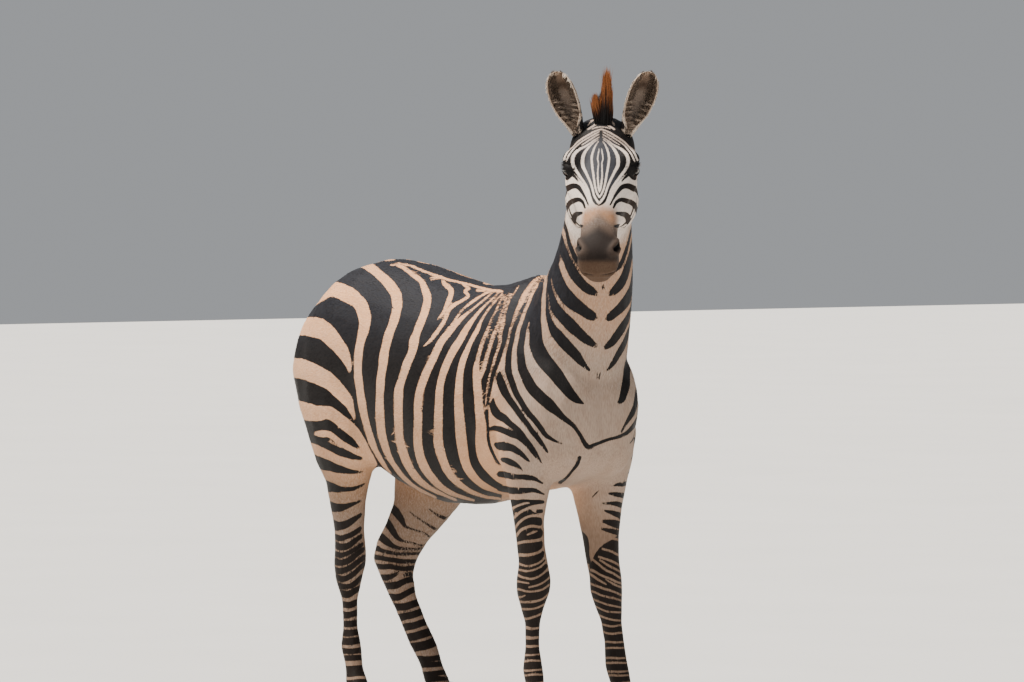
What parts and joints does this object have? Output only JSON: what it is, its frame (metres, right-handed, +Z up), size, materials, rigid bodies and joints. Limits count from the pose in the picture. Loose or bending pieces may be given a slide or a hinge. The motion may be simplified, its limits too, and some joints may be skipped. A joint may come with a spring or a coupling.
{
  "type": "zebra",
  "caption": "Life-size still model of a standing plains zebra, with its head turned to its right and an upright mane.",
  "frame": {"origin": "on the floor, at the middle of the animal's bounding box seen from above", "axes": "+Z up, -Y the way the body faces, +X the animal's left side"},
  "size_m": [0.5826, 1.818, 1.8131],
  "materials": {
    "coat": "short flat hair, black stripes on warm cream to pale tan",
    "hair": "stiff upright hair, banded dark and cream, with rusty brown tips",
    "eye": "wet, very dark brown",
    "horn": "dark grey-brown hoof horn, dull and finely ringed"
  },
  "bodies": {
    "root": {"head": "coat", "neck": "coat", "trunk": "coat", "tail": "coat", "foreleg_left": "coat", "foreleg_right": "coat", "hindleg_left": "coat", "hindleg_right": "coat", "ear_left": "coat", "ear_right": "coat", "mane": "hair", "forelock": "hair", "tail_tuft": "hair", "eye_left": "eye", "eye_right": "eye", "hoof_fore_left": "horn", "hoof_fore_right": "horn", "hoof_hind_left": "horn", "hoof_hind_right": "horn"}
  },
  "joints": []
}
